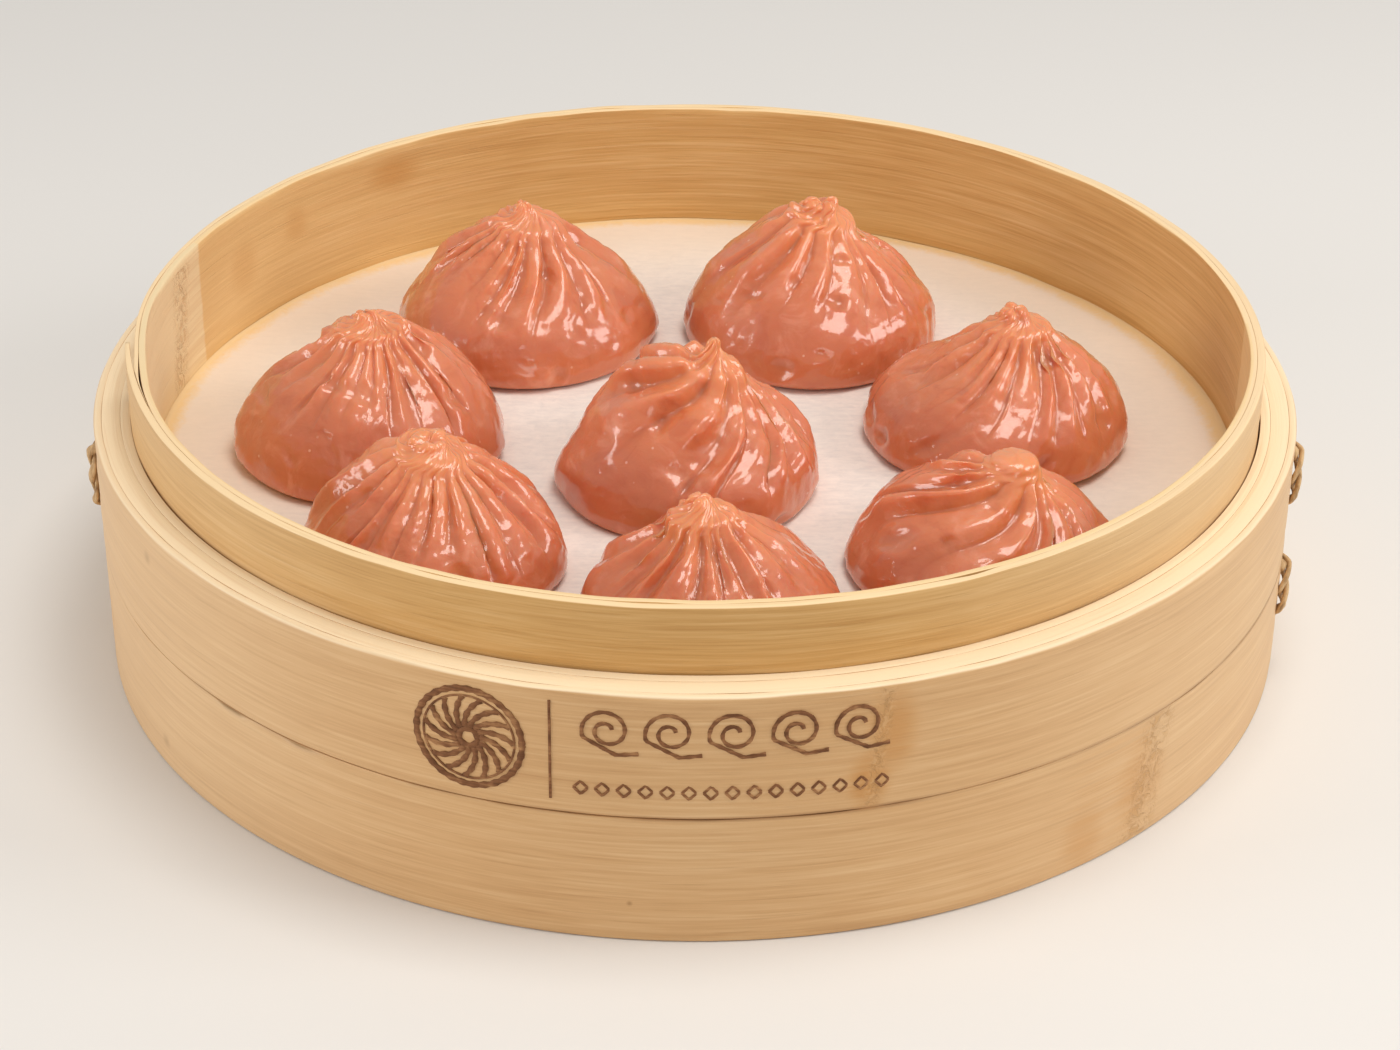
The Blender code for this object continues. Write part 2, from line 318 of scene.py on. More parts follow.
def bamboo_material(
    name, dark, middle, light, top, marks=(), joints=(), knots=(),
    rough=1.0, straight=False, seam=False, washed_and_lit=False, sides=(0.0, 0.0),
):
    """Bamboo whose grain runs round the wall (or along X when straight), paler where its edge is cut.

    marks are (point, reach, stretch, strength) of amber stains that follow the grain. knots are (point, reach)
    of small brown spots. joints are (angle at the top, angle at the foot, low, high, width, strength) of the
    scarred lines where the stem's partitions were, with a yellower stretch beside them. sides says how much
    painted light pales the strip towards the left and the right. washed turns part of the hoop's inside pale
    and paints light on the inside's left and just above the liner. seam paints shade along the seam.
    """
    nodes = Nodes(name)
    place = nodes.object_place()
    x, y, z = nodes.split(place)
    if straight:
        across, along_x, along_y, radial = y, x, 0.0, z
    else:
        across, along_x, along_y, radial = z, x, y, nodes.from_axis(x, y)

    def grain(along, fine, detail):
        scaled = nodes.vector(
            nodes.times(along_x, along), nodes.times(along_y, along), nodes.times(across, fine)
        )
        return nodes.noise(scaled, detail=detail, roughness=0.6, w=nodes.times(radial, fine))

    bands = grain(8, 200, 2.0)
    strands = grain(26, 1250, 3.0)
    fibres = grain(60, 2600, 2.5)
    scratches = grain(60, 2200, 1.0)
    blotches = nodes.noise(place, scale=30, detail=3)

    tone = nodes.weighted((bands, 0.18), (strands, 0.30), (fibres, 0.36), (blotches, 0.16))
    colour = nodes.ramp(tone, (0.34, dark), (0.50, middle), (0.63, light))
    cuts = nodes.times(nodes.between(scratches, 0.64, 0.72), 0.35)
    colour = nodes.tint(colour, dark, cuts)

    normal_z = nodes.split(nodes.add("ShaderNodeNewGeometry").outputs["Normal"])[2]
    on_shelf = nodes.between(z, SEAM_Z, SHELF_Z - 1 * MM)
    cut_edge = nodes.times(nodes.between(normal_z, 0.35, 0.90), on_shelf)
    top_tone = nodes.tint(top, middle, nodes.between(strands, 0.52, 0.66), 0.22)
    colour = nodes.tint(colour, top_tone, cut_edge, 0.92)
    if seam:
        # Painted shade: a dark band beside the seam between the veneers, broken up by blotches, standing for
        # the shade in the gap.
        from_seam = nodes.math("ABSOLUTE", nodes.minus(z, SEAM_Z))
        beside_seam = nodes.between(from_seam, 0.7 * MM, 0.1 * MM)
        groove_shade = nodes.times(beside_seam, nodes.between(blotches, 0.38, 0.60))
        colour = nodes.tint(colour, SEAM_SHADE, groove_shade, 0.7)

    amber = (dark[0] * 1.05, dark[1] * 0.88, dark[2] * 0.55)
    streaky = nodes.weighted((strands, 1.3), (blotches, 0.5))
    for point, reach, stretch, strength in marks:
        spot = near_point(nodes, place, point, reach, stretch)
        ragged = nodes.between(nodes.times(spot, streaky), 0.15, 0.95)
        colour = nodes.tint(colour, amber, ragged, strength)
    for point, reach in knots:
        colour = nodes.tint(colour, KNOT_BROWN, near_point(nodes, place, point, reach), 0.65)

    facing_out = 1.0
    if washed_and_lit:
        facing_in = nodes.between(radial, CAVITY_RADIUS + 0.9 * MM, CAVITY_RADIUS + 0.6 * MM)
        facing_out = nodes.minus(1.0, facing_in)
        # Painted light: the hoop's inside from the left round to the front is painted a paler gold, as the lamp
        # on the right lights it.
        from_left = nodes.math("ARCTAN2", nodes.times(y, -1), nodes.times(x, -1))
        lit_side = nodes.times(nodes.between(from_left, math.radians(-80), math.radians(-20)), 0.5)
        colour = nodes.tint(colour, LIT_SIDE_GOLD, lit_side, facing_in)
        # Past the joint the strip is pale, with a sharp edge to the golden part and a slow fade to the front.
        pale_part = nodes.between(from_left, math.radians(-17.4), math.radians(-16.8))
        faded = nodes.plus(from_left, nodes.times(nodes.minus(strands, 0.5), 0.5))
        pale_part = nodes.times(pale_part, nodes.between(faded, math.radians(30), math.radians(2)))
        colour = nodes.tint(colour, WASHED_PALE, nodes.times(pale_part, 0.85), facing_in)
        # Painted light: just above the liner the hoop's inside is paler gold, as light thrown up from the paper
        # makes it.
        near_liner = nodes.times(nodes.between(z, LINER_Z + 9 * MM, LINER_Z), facing_in)
        liner_bounce = nodes.times(near_liner, nodes.between(bands, 0.30, 0.65))
        colour = nodes.tint(colour, LINER_BOUNCE_GOLD, liner_bounce, 0.4)
    # Painted light and sheen: the outward faces grow paler towards the left and the right, where they turn to
    # the side lamps.
    lit_left = nodes.times(nodes.between(x, -30 * MM, -95 * MM), sides[0])
    lit_right = nodes.times(nodes.between(x, 25 * MM, 90 * MM), sides[1])
    colour = nodes.tint(colour, SIDE_LIGHT_PALE, nodes.plus(lit_left, lit_right), facing_out)

    flakes = nodes.noise(place, scale=520, detail=4, roughness=0.7, distortion=0.8)
    pits = nodes.between(flakes, 0.50, 0.58)
    peeled = nodes.between(flakes, 0.47, 0.41)
    scar = 0.0
    for top_deg, foot_deg, low, high, width, strength in joints:
        lean = math.radians(top_deg - foot_deg) / (high - low)
        line = nodes.plus(nodes.times(nodes.minus(z, low), lean), math.radians(foot_deg))
        away = nodes.minus(nodes.math("ARCTAN2", y, x), line)
        away = nodes.plus(away, nodes.times(nodes.minus(blotches, 0.5), 0.05))
        inside = nodes.times(nodes.between(z, low, low + 1 * MM), nodes.between(z, high, high - 1 * MM))
        near = nodes.times(nodes.between(nodes.math("ABSOLUTE", away), width, 0.2 * width), inside)
        pitted = nodes.times(nodes.times(near, pits), strength)
        pale = nodes.times(nodes.times(near, peeled), 0.6 * strength)
        colour = nodes.tint(colour, light, pale)
        colour = nodes.tint(colour, SCAR_BROWN, pitted)
        beside = nodes.times(nodes.between(away, 0.0, -0.02), nodes.between(away, -0.26, -0.10))
        streaks = nodes.times(beside, nodes.between(strands, 0.42, 0.60))
        colour = nodes.tint(colour, amber, nodes.times(streaks, inside), 0.35 * strength)
        scar = nodes.plus(scar, nodes.minus(nodes.times(pitted, 1.5), pale))

    relief = nodes.weighted((strands, 0.7), (fibres, 0.4))
    relief = nodes.minus(nodes.minus(relief, nodes.times(cuts, 0.5)), scar)
    return nodes.surface(
        Base_Color=colour,
        Roughness=nodes.plus(nodes.times(fibres, 0.22), 0.40),
        Normal=nodes.bump(relief, 0.14 * MM * rough, 0.8),
        Specular_IOR_Level=0.42,
    )


def liner_material():
    """Thin white steaming paper, its fibres showing, warmed towards the rim by painted bounce light from the
    wall, and golden at the rim next to the bamboo.
    """
    nodes = Nodes("steaming_paper")
    place = nodes.object_place()
    x, y, _ = nodes.split(place)
    radius = nodes.from_axis(x, y)
    fibres = nodes.noise(nodes.vector(nodes.times(x, 260), nodes.times(y, 900), 0.0), detail=4)
    fleece = nodes.noise(place, scale=420, detail=4, distortion=1.5)
    clouds = nodes.noise(place, scale=38, detail=2)
    tone = nodes.weighted((fibres, 0.45), (fleece, 0.35), (clouds, 0.20))
    colour = nodes.ramp(tone, (0.36, (0.81, 0.745, 0.70)), (0.60, (0.95, 0.862, 0.79)))
    # Painted light: the paper warms towards the rim with the light thrown from the bamboo wall.
    colour = nodes.tint(colour, (0.85, 0.71, 0.56), nodes.between(radius, 52 * MM, 92 * MM), 0.75)
    # Golden at the rim, next to the bamboo, with a ragged inner edge.
    ragged_radius = nodes.plus(nodes.plus(radius, nodes.times(clouds, 3 * MM)), nodes.times(fleece, 3 * MM))
    colour = nodes.tint(colour, (0.86, 0.60, 0.27), nodes.between(ragged_radius, 95.0 * MM, 98.0 * MM), 0.85)
    return nodes.surface(
        Base_Color=colour,
        Roughness=nodes.plus(nodes.times(fleece, 0.2), 0.62),
        Normal=nodes.bump(tone, 0.12 * MM, 0.7),
        Specular_IOR_Level=0.3,
    )


def cane_material():
    """Split cane: dull tan, darker in its grooves."""
    nodes = Nodes("split_cane")
    place = nodes.object_place()
    x, y, z = nodes.split(place)
    strands = nodes.noise(nodes.vector(nodes.times(x, 1400), nodes.times(y, 1400), z), detail=3)
    patches = nodes.noise(place, scale=300, detail=3)
    tone = nodes.weighted((strands, 0.5), (patches, 0.5))
    colour = nodes.ramp(
        tone, (0.34, (0.30, 0.165, 0.07)), (0.50, (0.60, 0.39, 0.19)), (0.66, (0.80, 0.58, 0.33))
    )
    relief = nodes.bump(strands, 0.12 * MM, 0.8)
    return nodes.surface(Base_Color=colour, Roughness=0.6, Normal=relief, Specular_IOR_Level=0.35)


def burn_material():
    """Scorched bamboo, brown and uneven, the grain still showing."""
    nodes = Nodes("scorched_bamboo")
    place = nodes.object_place()
    x, y, z = nodes.split(place)
    grain = nodes.noise(nodes.vector(nodes.times(x, 60), nodes.times(y, 60), nodes.times(z, 1600)), detail=3)
    patches = nodes.noise(place, scale=420, detail=3)
    tone = nodes.weighted((grain, 0.5), (patches, 0.5))
    colour = nodes.ramp(
        tone, (0.38, (0.150, 0.058, 0.022)), (0.52, (0.25, 0.105, 0.042)), (0.66, (0.46, 0.235, 0.10))
    )
    relief = nodes.bump(tone, 0.08 * MM, 0.7)
    return nodes.surface(Base_Color=colour, Roughness=0.72, Normal=relief, Specular_IOR_Level=0.25)


def skin_material():
    """Wet, slightly see-through dough. The map named fold holds (height share, how deep in a crease, which sets
    the creases' painted shade).
    """
    nodes = Nodes("dumpling_skin")
    place = nodes.object_place()
    height, crease, _ = nodes.split(nodes.map_uv("fold"))
    mottle = nodes.noise(place, scale=150, detail=4, roughness=0.6, distortion=0.6)
    clouds = nodes.noise(place, scale=60, detail=2)
    grain = nodes.noise(place, scale=900, detail=3)
    wrinkles = nodes.noise(place, scale=420, detail=4, roughness=0.6, distortion=1.2)

    colour = nodes.ramp(
        nodes.plus(height, nodes.times(nodes.minus(clouds, 0.5), 0.5)),
        (0.00, (0.65, 0.190, 0.070)),
        (0.30, (0.63, 0.178, 0.076)),
        (0.62, (0.71, 0.225, 0.096)),
        (1.00, (0.82, 0.300, 0.118)),
    )
    colour = nodes.tint(colour, (0.80, 0.33, 0.20), nodes.between(mottle, 0.52, 0.72), 0.6)
    colour = nodes.tint(colour, (0.56, 0.125, 0.045), nodes.between(mottle, 0.46, 0.30), 0.5)
    # Painted shade: the creases between the pleats are darkened.
    colour = nodes.tint(colour, (0.56, 0.120, 0.036), crease, 0.55)

    flecks = nodes.tree.nodes.new("ShaderNodeTexVoronoi")
    nodes.link(place, flecks.inputs["Vector"])
    flecks.inputs["Scale"].default_value = 420
    fleck = nodes.between(flecks.outputs["Distance"], 0.13, 0.07)
    sparse = nodes.between(nodes.noise(place, scale=110, detail=1), 0.55, 0.62)
    colour = nodes.tint(colour, (0.90, 0.62, 0.48), nodes.times(fleck, sparse), 0.5)

    relief = nodes.plus(wrinkles, nodes.times(grain, 0.25))
    ripples = nodes.noise(place, scale=440, detail=4, roughness=0.6, distortion=0.6)
    return nodes.surface(
        Base_Color=colour,
        Subsurface_Weight=0.60,
        Subsurface_Radius=(1.0, 0.34, 0.16),
        Subsurface_Scale=3.6 * MM,
        Roughness=nodes.plus(nodes.times(mottle, 0.30), 0.28),
        Specular_IOR_Level=0.45,
        Coat_Weight=1.0,
        Coat_Roughness=0.05,
        Coat_Normal=nodes.bump(ripples, 0.14 * MM, 0.45),
        Normal=nodes.bump(relief, 0.16 * MM, 0.6),
    )


# ---- mesh helpers


def mesh_piece(name, points, faces, material, maps=None):
    """A smooth-shaded object from arrays. maps is {UV map's name: one (u, v) for each point}."""
    mesh = bpy.data.meshes.new(name)
    mesh.from_pydata(points.tolist(), [], faces)
    for map_name, values in (maps or {}).items():
        layer = mesh.uv_layers.new(name=map_name)
        corners = np.empty(len(mesh.loops), np.int32)
        mesh.loops.foreach_get("vertex_index", corners)
        layer.data.foreach_set("uv", np.asarray(values, np.float32)[corners].ravel())
    mesh.shade_smooth()
    mesh.materials.append(material)
    return linked(name, mesh)


def grid_faces(rows, columns, closed=False):
    """Quads of a grid of points in rows, each row a loop; closed joins the last row to the first."""
    faces = []
    for i in range(rows if closed else rows - 1):
        below, above = i * columns, (i + 1) % rows * columns
        for j in range(columns):
            k = (j + 1) % columns
            faces.append((below + j, below + k, above + k, above + j))
    return faces


def capped_grid(rows, columns):
    """The same, with a face over the first row and over the last."""
    faces = grid_faces(rows, columns)
    faces.append(tuple(range(columns))[::-1])
    faces.append(tuple(range((rows - 1) * columns, rows * columns)))
    return faces


def round_axis(radius, turn, z):
    return np.stack([radius * np.cos(turn), radius * np.sin(turn), z], axis=-1)


def waves(points, length, seed, count=12, stretch=(1.0, 1.0, 1.0)):
    """Smooth uneven values, mostly within -1..1, that vary over about that length."""
    dice = np.random.default_rng(seed)
    total = np.zeros(len(points))
    for _ in range(count):
        direction = dice.normal(size=3)
        direction *= TURN / length / np.linalg.norm(direction) * dice.uniform(0.6, 1.5)
        total += np.sin(points @ (direction * np.array(stretch)) + dice.uniform(0, TURN))
    return total / math.sqrt(count / 2)


def smooth(share):
    share = np.clip(share, 0.0, 1.0)
    return share * share * (3 - 2 * share)


def finish_piece(made, slot, *nodes):
    """Puts a finished piece on the basket's one body, in place of those CAD nodes."""
    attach(made, "root")
    if nodes:
        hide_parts(*nodes)
    return made


# ---- bent strips


def out_of_round(angle):
    """How far the whole wall bulges at that angle: bent bamboo is never a true circle."""
    return 0.22 * MM * np.sin(2 * angle + 0.7) + 0.10 * MM * np.sin(3 * angle + 2.0)


def section_outline(thickness, height, bevels, step):
    """(out, up, side) points round a strip's section from its inner foot, with rounded corners.

    bevels are the corner sizes at the inner foot, outer foot, outer top and inner top.
    """
    corners = ((0, 0), (thickness, 0), (thickness, height), (0, height))
    starts = (math.pi, 1.5 * math.pi, 0.0, 0.5 * math.pi)
    signs = ((1, 1), (-1, 1), (-1, -1), (1, -1))
    turns = 3
    outline = []
    for i in range(4):
        bevel = bevels[i]
        centre_x = corners[i][0] + signs[i][0] * bevel
        centre_y = corners[i][1] + signs[i][1] * bevel
        for k in range(turns + 1):
            angle = starts[i] + 0.5 * math.pi * k / turns
            outline.append((centre_x + bevel * math.cos(angle), centre_y + bevel * math.sin(angle)))
        end = outline[-1]
        j = (i + 1) % 4
        next_x = corners[j][0] + signs[j][0] * bevels[j]
        next_y = corners[j][1] + signs[j][1] * bevels[j]
        angle = starts[j]
        begin = (next_x + bevels[j] * math.cos(angle), next_y + bevels[j] * math.sin(angle))
        length = math.dist(end, begin)
        pieces = max(int(length / step), 1)
        for k in range(1, pieces):
            share = k / pieces
            outline.append((end[0] + (begin[0] - end[0]) * share, end[1] + (begin[1] - end[1]) * share))
    return np.array(outline)


def bent_strip(
    name, material, place, seed, bevels, closed=True, stations=420,
    step=1.2, relief=0.035, lumpy=0.03, shown=(1, 1),
):
    """A strip of bamboo bent round the axis.

    place(t) gives arrays (angle, inner, outer, low, high) for t in 0..1. bevels, step, relief and lumpy are in
    mm. shown says whether its inner and its outer face show: one that lies against a neighbour stays smooth.
    """
    t = np.arange(stations) / (stations if closed else stations - 1)
    angle, inner, outer, low, high = (np.broadcast_to(value, t.shape) for value in place(t))
    typical = (float(np.median(outer - inner)), float(np.median(high - low)))
    outline = section_outline(*typical, [b * MM for b in bevels], step * MM)
    out_share = outline[:, 0] / typical[0]
    up_share = outline[:, 1] / typical[1]
    radius = inner[:, None] + out_share[None, :] * (outer - inner)[:, None]
    z = low[:, None] + up_share[None, :] * (high - low)[:, None]
    count = len(outline)
    turn = np.repeat(angle[:, None], count, axis=1)
    points = round_axis(radius, turn, z).reshape(-1, 3)
    # Fibres stand a little proud along the strip, and its faces and top edge are slightly lumpy.
    fibre = waves(points, 40 * MM, seed, 14, (1.0, 1.0, 24.0)) * relief * MM
    lumps = waves(points, 30 * MM, seed + 50, 10) * lumpy * MM
    side = np.tile(np.where(out_share > 0.98, shown[1], np.where(out_share < 0.02, -shown[0], 0)), stations)
    radius = radius.ravel() + side * (fibre + lumps) + np.repeat(out_of_round(angle), count)
    top = np.tile(np.where(up_share > 0.995, 1.0, 0.0), stations)
    z = z.ravel() + top * waves(points, 14 * MM, seed + 90, 10) * 1.4 * lumpy * MM
    points = round_axis(radius, turn.ravel(), z)
    faces = grid_faces(stations, count, True) if closed else capped_grid(stations, count)
    return mesh_piece(name, points, [face[::-1] for face in faces], material)


def make_walls():
    amber_stains = (
        (on_wall(OUTER_RADIUS, -73.0, 37 * MM), 10 * MM, (1.4, 1.0, 0.7), 0.70),
        (on_wall(OUTER_RADIUS, -75.0, 28 * MM), 9 * MM, (1.5, 1.0, 1.0), 0.75),
        (on_wall(OUTER_RADIUS, -46.0, 11 * MM), 13 * MM, (1.2, 1.2, 0.8), 0.60),
        (on_wall(OUTER_RADIUS, -53.0, 6 * MM), 9 * MM, (1.0, 1.4, 0.8), 0.45),
        (on_wall(OUTER_RADIUS, 75.0, 30 * MM), 10 * MM, (1, 1.6, 0.8), 0.6),
        (on_wall(OUTER_RADIUS, 195.0, 12 * MM), 9 * MM, (1.6, 1, 0.8), 0.5),
    )
    small_knots = (
        (on_wall(OUTER_RADIUS, -146.5, 5.0 * MM), 1.9 * MM),
        (on_wall(OUTER_RADIUS, -147.4, 39.7 * MM), 1.7 * MM),
        (on_wall(OUTER_RADIUS, -95.0, 7.0 * MM), 0.7 * MM),
        (on_wall(OUTER_RADIUS, 100.0, 14.0 * MM), 1.2 * MM),
        (on_wall(OUTER_RADIUS, 20.0, 33.0 * MM), 1.0 * MM),
    )
    outer_joints = (
        (-73.6, -74.4, SEAM_Z, SHELF_Z, 0.018, 0.55),
        (-43.8, -46.0, 0.0, SEAM_Z, 0.050, 0.65),
        (61.0, 60.0, 0.0, SEAM_Z, 0.035, 0.80),
        (128.0, 127.0, SEAM_Z, SHELF_Z, 0.035, 0.80),
    )
    inner_stains = (
        (on_wall(CAVITY_RADIUS, 144.0, 48 * MM), 6 * MM, (1.0, 1.0, 0.9), 0.80),
        (on_wall(CAVITY_RADIUS, 153.5, 45 * MM), 8 * MM, (1.0, 1.0, 0.8), 0.75),
        (on_wall(CAVITY_RADIUS, 129.0, 51 * MM), 11 * MM, (1.0, 1.0, 1.6), 0.85),
    )
    inner_joints = ((167.5, 171.5, LINER_Z - 8 * MM, RIM_Z - 1 * MM, 0.055, 0.50),)
    veneer_look = bamboo_material(
        "veneer_bamboo", *TAN, CREAM, amber_stains, outer_joints, small_knots, seam=True, sides=(0.35, 0.25)
    )
    hoop_look = bamboo_material("hoop_bamboo", *TAN, CREAM)
    inner_look = bamboo_material(
        "inner_hoop_bamboo", *GOLD, WARM_CREAM, inner_stains, inner_joints,
        rough=1.5, washed_and_lit=True, sides=(0.25, 0.45),
    )

    def ring(span, high):
        return lambda t: (TURN * t, span[0], span[1], 0.0, high)

    def seam_gap(t):
        """Half the gap between the veneers: open on the left of the front, almost shut on its right."""
        angle = TURN * t
        shut = np.exp(-(((angle - math.radians(285.5)) / 0.025) ** 2))
        return (0.085 + 0.035 * np.sin(3 * angle + 1) + 0.015 * np.sin(17 * angle)) * (1 - 0.9 * shut) * MM

    upper = bent_strip(
        "veneer_upper_wall",
        veneer_look,
        lambda t: (TURN * t, VENEER[0], VENEER[1], SEAM_Z + seam_gap(t), SHELF_Z),
        stations=540,
        bevels=(0.1, 0.1, 0.55, 0.1),
        shown=(0, 1),
        seed=11,
    )
    lower = bent_strip(
        "veneer_lower_wall",
        veneer_look,
        lambda t: (TURN * t, VENEER[0], VENEER[1], 0.0, SEAM_Z - seam_gap(t)),
        stations=540,
        bevels=(0.1, 0.35, 0.12, 0.1),
        shown=(0, 1),
        seed=12,
    )
    # These two show only their top edges, so their sides need few points.
    clean = dict(bevels=(0.05,) * 4, step=6.0, relief=0.0, lumpy=0.008)
    outer = bent_strip("hoop_outer_wall", hoop_look, ring(OUTER_HOOP, SHELF_Z), seed=13, **clean)
    middle = bent_strip("hoop_middle_wall", hoop_look, ring(MIDDLE_HOOP, SHELF_Z + 0.05 * MM), seed=14, **clean)

    def left_dent(angle):
        """The standing hoop is pressed in a little where the tail ends."""
        from_dent = np.angle(np.exp(1j * (angle - math.radians(190))))
        return 0.65 * MM * np.exp(-((from_dent / math.radians(9)) ** 2))

    def inner_ply(t):
        dent = left_dent(TURN * t)
        return TURN * t, INNER_PLY[0] - dent, INNER_PLY[1] - dent, HOOP_LOW_Z, RIM_Z

    inner = bent_strip(
        "hoop_inner_ply",
        inner_look,
        inner_ply,
        stations=540,
        bevels=(0.2, 0.1, 0.12, 0.3),
        relief=0.06,
        shown=(1, 0),
        seed=15,
    )
    finish_piece(upper, "bamboo", "veneer_upper")
    finish_piece(lower, "bamboo", "veneer_lower")
    finish_piece(outer, "bamboo", "hoop_outer")
    finish_piece(middle, "bamboo", "hoop_middle")
    finish_piece(inner, "pale_bamboo", "hoop_inner")

    tail_end, lap = math.radians(187), math.radians(18)
    slit_at = math.radians(296)

    def outer_ply(t):
        """Once round and on under its own start: t = 0 is the tail's free end, t = 1 the end beneath it."""
        angle = tail_end + (TURN + lap) * t
        from_tail = np.clip((angle - tail_end) / lap, 0, 1)
        to_end = np.clip((angle - tail_end - TURN) / lap, 0, 1)
        full = OUTER_PLY[1] - OUTER_PLY[0]
        thinned = full * (1 - 0.45 * smooth((angle - tail_end - 0.8 * TURN) / (0.2 * TURN)))

        def lifted(share):
            """How far the tail stands off the inner ply, at a share of the lap from its free end."""
            return (1.15 * (1 - smooth(share)) + 0.40 * (1 - share) ** 2) * MM

        slit = np.exp(-(((angle - slit_at) / math.radians(2.0)) ** 2))
        sprung = 0.30 * MM * np.exp(-(((to_end - 0.5) / 0.22) ** 2)) * (to_end > 0)
        start = OUTER_PLY[0] + lifted(from_tail) + 0.42 * MM * slit + sprung - left_dent(angle)
        tail_part = thinned * (1 - 0.45 * (1 - from_tail) ** 2) - 0.30 * MM * slit
        end_part = np.minimum(np.clip(lifted(to_end) - sprung - 0.05 * MM, 0.05 * MM, None), thinned)
        high = RIM_Z - 0.25 * MM * (1 - from_tail) ** 2
        return angle, start, start + np.where(to_end > 0, end_part, tail_part), HOOP_LOW_Z, high

    ply = bent_strip(
        "hoop_outer_ply",
        inner_look,
        outer_ply,
        closed=False,
        stations=600,
        bevels=(0.1, 0.2, 0.3, 0.12),
        relief=0.05,
        shown=(0, 1),
        seed=16,
    )
    finish_piece(ply, "pale_bamboo")


# ---- floor and liner


def make_floor():
    """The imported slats, battens and ring, with rounded edges."""
    look = bamboo_material("floor_bamboo", *FLOOR_TAN, FLOOR_CREAM, straight=True)
    ring_look = bamboo_material("floor_ring_bamboo", *FLOOR_RING_TAN, FLOOR_CREAM)
    for name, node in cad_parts.items():
        if name.startswith("floor_"):
            node.data.materials.clear()
            node.data.materials.append(ring_look if name == "floor_ring" else look)
            edge = node.modifiers.new("rounded edges", "BEVEL")
            edge.width = 0.35 * MM
            edge.segments = 2
            edge.limit_method = "ANGLE"


def make_liner():
    """A paper disc that lies almost flat, with faint cockles, a crease on the right and a turned-up edge."""
    rings, steps = 70, 240
    reach = CAVITY_RADIUS - 0.05 * MM
    thickness = 0.30 * MM
    share = np.linspace(0.02, 1.0, rings)
    angle = np.arange(steps) / steps * TURN
    radius = share[:, None] * (reach + 0.05 * MM * np.sin(7 * angle) * np.cos(3 * angle))[None, :]
    radius = radius + share[:, None] * out_of_round(angle)[None, :]
    flat = round_axis(radius, angle, np.zeros_like(radius)).reshape(-1, 3)
    cockle = waves(flat, 26 * MM, 7, 12) * 0.10 * MM + waves(flat, 7 * MM, 8, 12) * 0.025 * MM
    curl = smooth((np.repeat(share, steps) * reach - 92.5 * MM) / (3.0 * MM))
    lift = curl * (0.25 + 0.20 * np.sin(np.tile(angle, rings) * 3 + 1)) * MM
    top = flat.copy()
    top[:, 2] = LINER_Z - 0.03 * MM + np.clip(cockle, -0.2 * MM, 0.06 * MM) + lift
    under = top.copy()
    under[:, 2] -= thickness
    along = flat - np.array(on_wall(87 * MM, 6, 0))
    crease_length, crease_width = 4 * MM, 0.5 * MM
    off_crease = along[:, 1] - 0.2 * along[:, 0]
    crease = np.exp(-((along[:, 0] / crease_length) ** 2) - (off_crease / crease_width) ** 2)
    top[:, 2] += crease * 0.35 * MM
    points = np.concatenate([top, under])
    count = rings * steps
    faces = grid_faces(rings, steps)
    faces += [tuple(count + i for i in face[::-1]) for face in grid_faces(rings, steps)]
    last = (rings - 1) * steps
    for j in range(steps):
        k = (j + 1) % steps
        faces.append((last + j, count + last + j, count + last + k, last + k))
    faces.append(tuple(range(steps))[::-1])
    faces.append(tuple(count + j for j in range(steps)))
    made = mesh_piece("steaming_liner", points, [face[::-1] for face in faces], liner_material())
    finish_piece(made, "liner", "liner")


# ---- dumplings

# Shares of the belly radius and of the height, from the foot's edge up to the neck below the knot
MERIDIAN = (
    (0.00, 0.000),
    (0.50, 0.000),
    (0.91, 0.000),
    (0.958, 0.008),
    (0.988, 0.032),
    (1.00, 0.078),
    (0.990, 0.155),
    (0.955, 0.250),
    (0.885, 0.350),
    (0.778, 0.448),
    (0.652, 0.540),
    (0.522, 0.622),
    (0.405, 0.700),
    (0.300, 0.775),
    (0.225, 0.860),
)
DUMPLING_ROWS = 140
PLEAT_SAMPLES = (0.0, 0.05, 0.11, 0.18, 0.26, 0.34, 0.42, 0.50, 0.57, 0.63, 0.69, 0.75, 0.82, 0.89, 0.95)

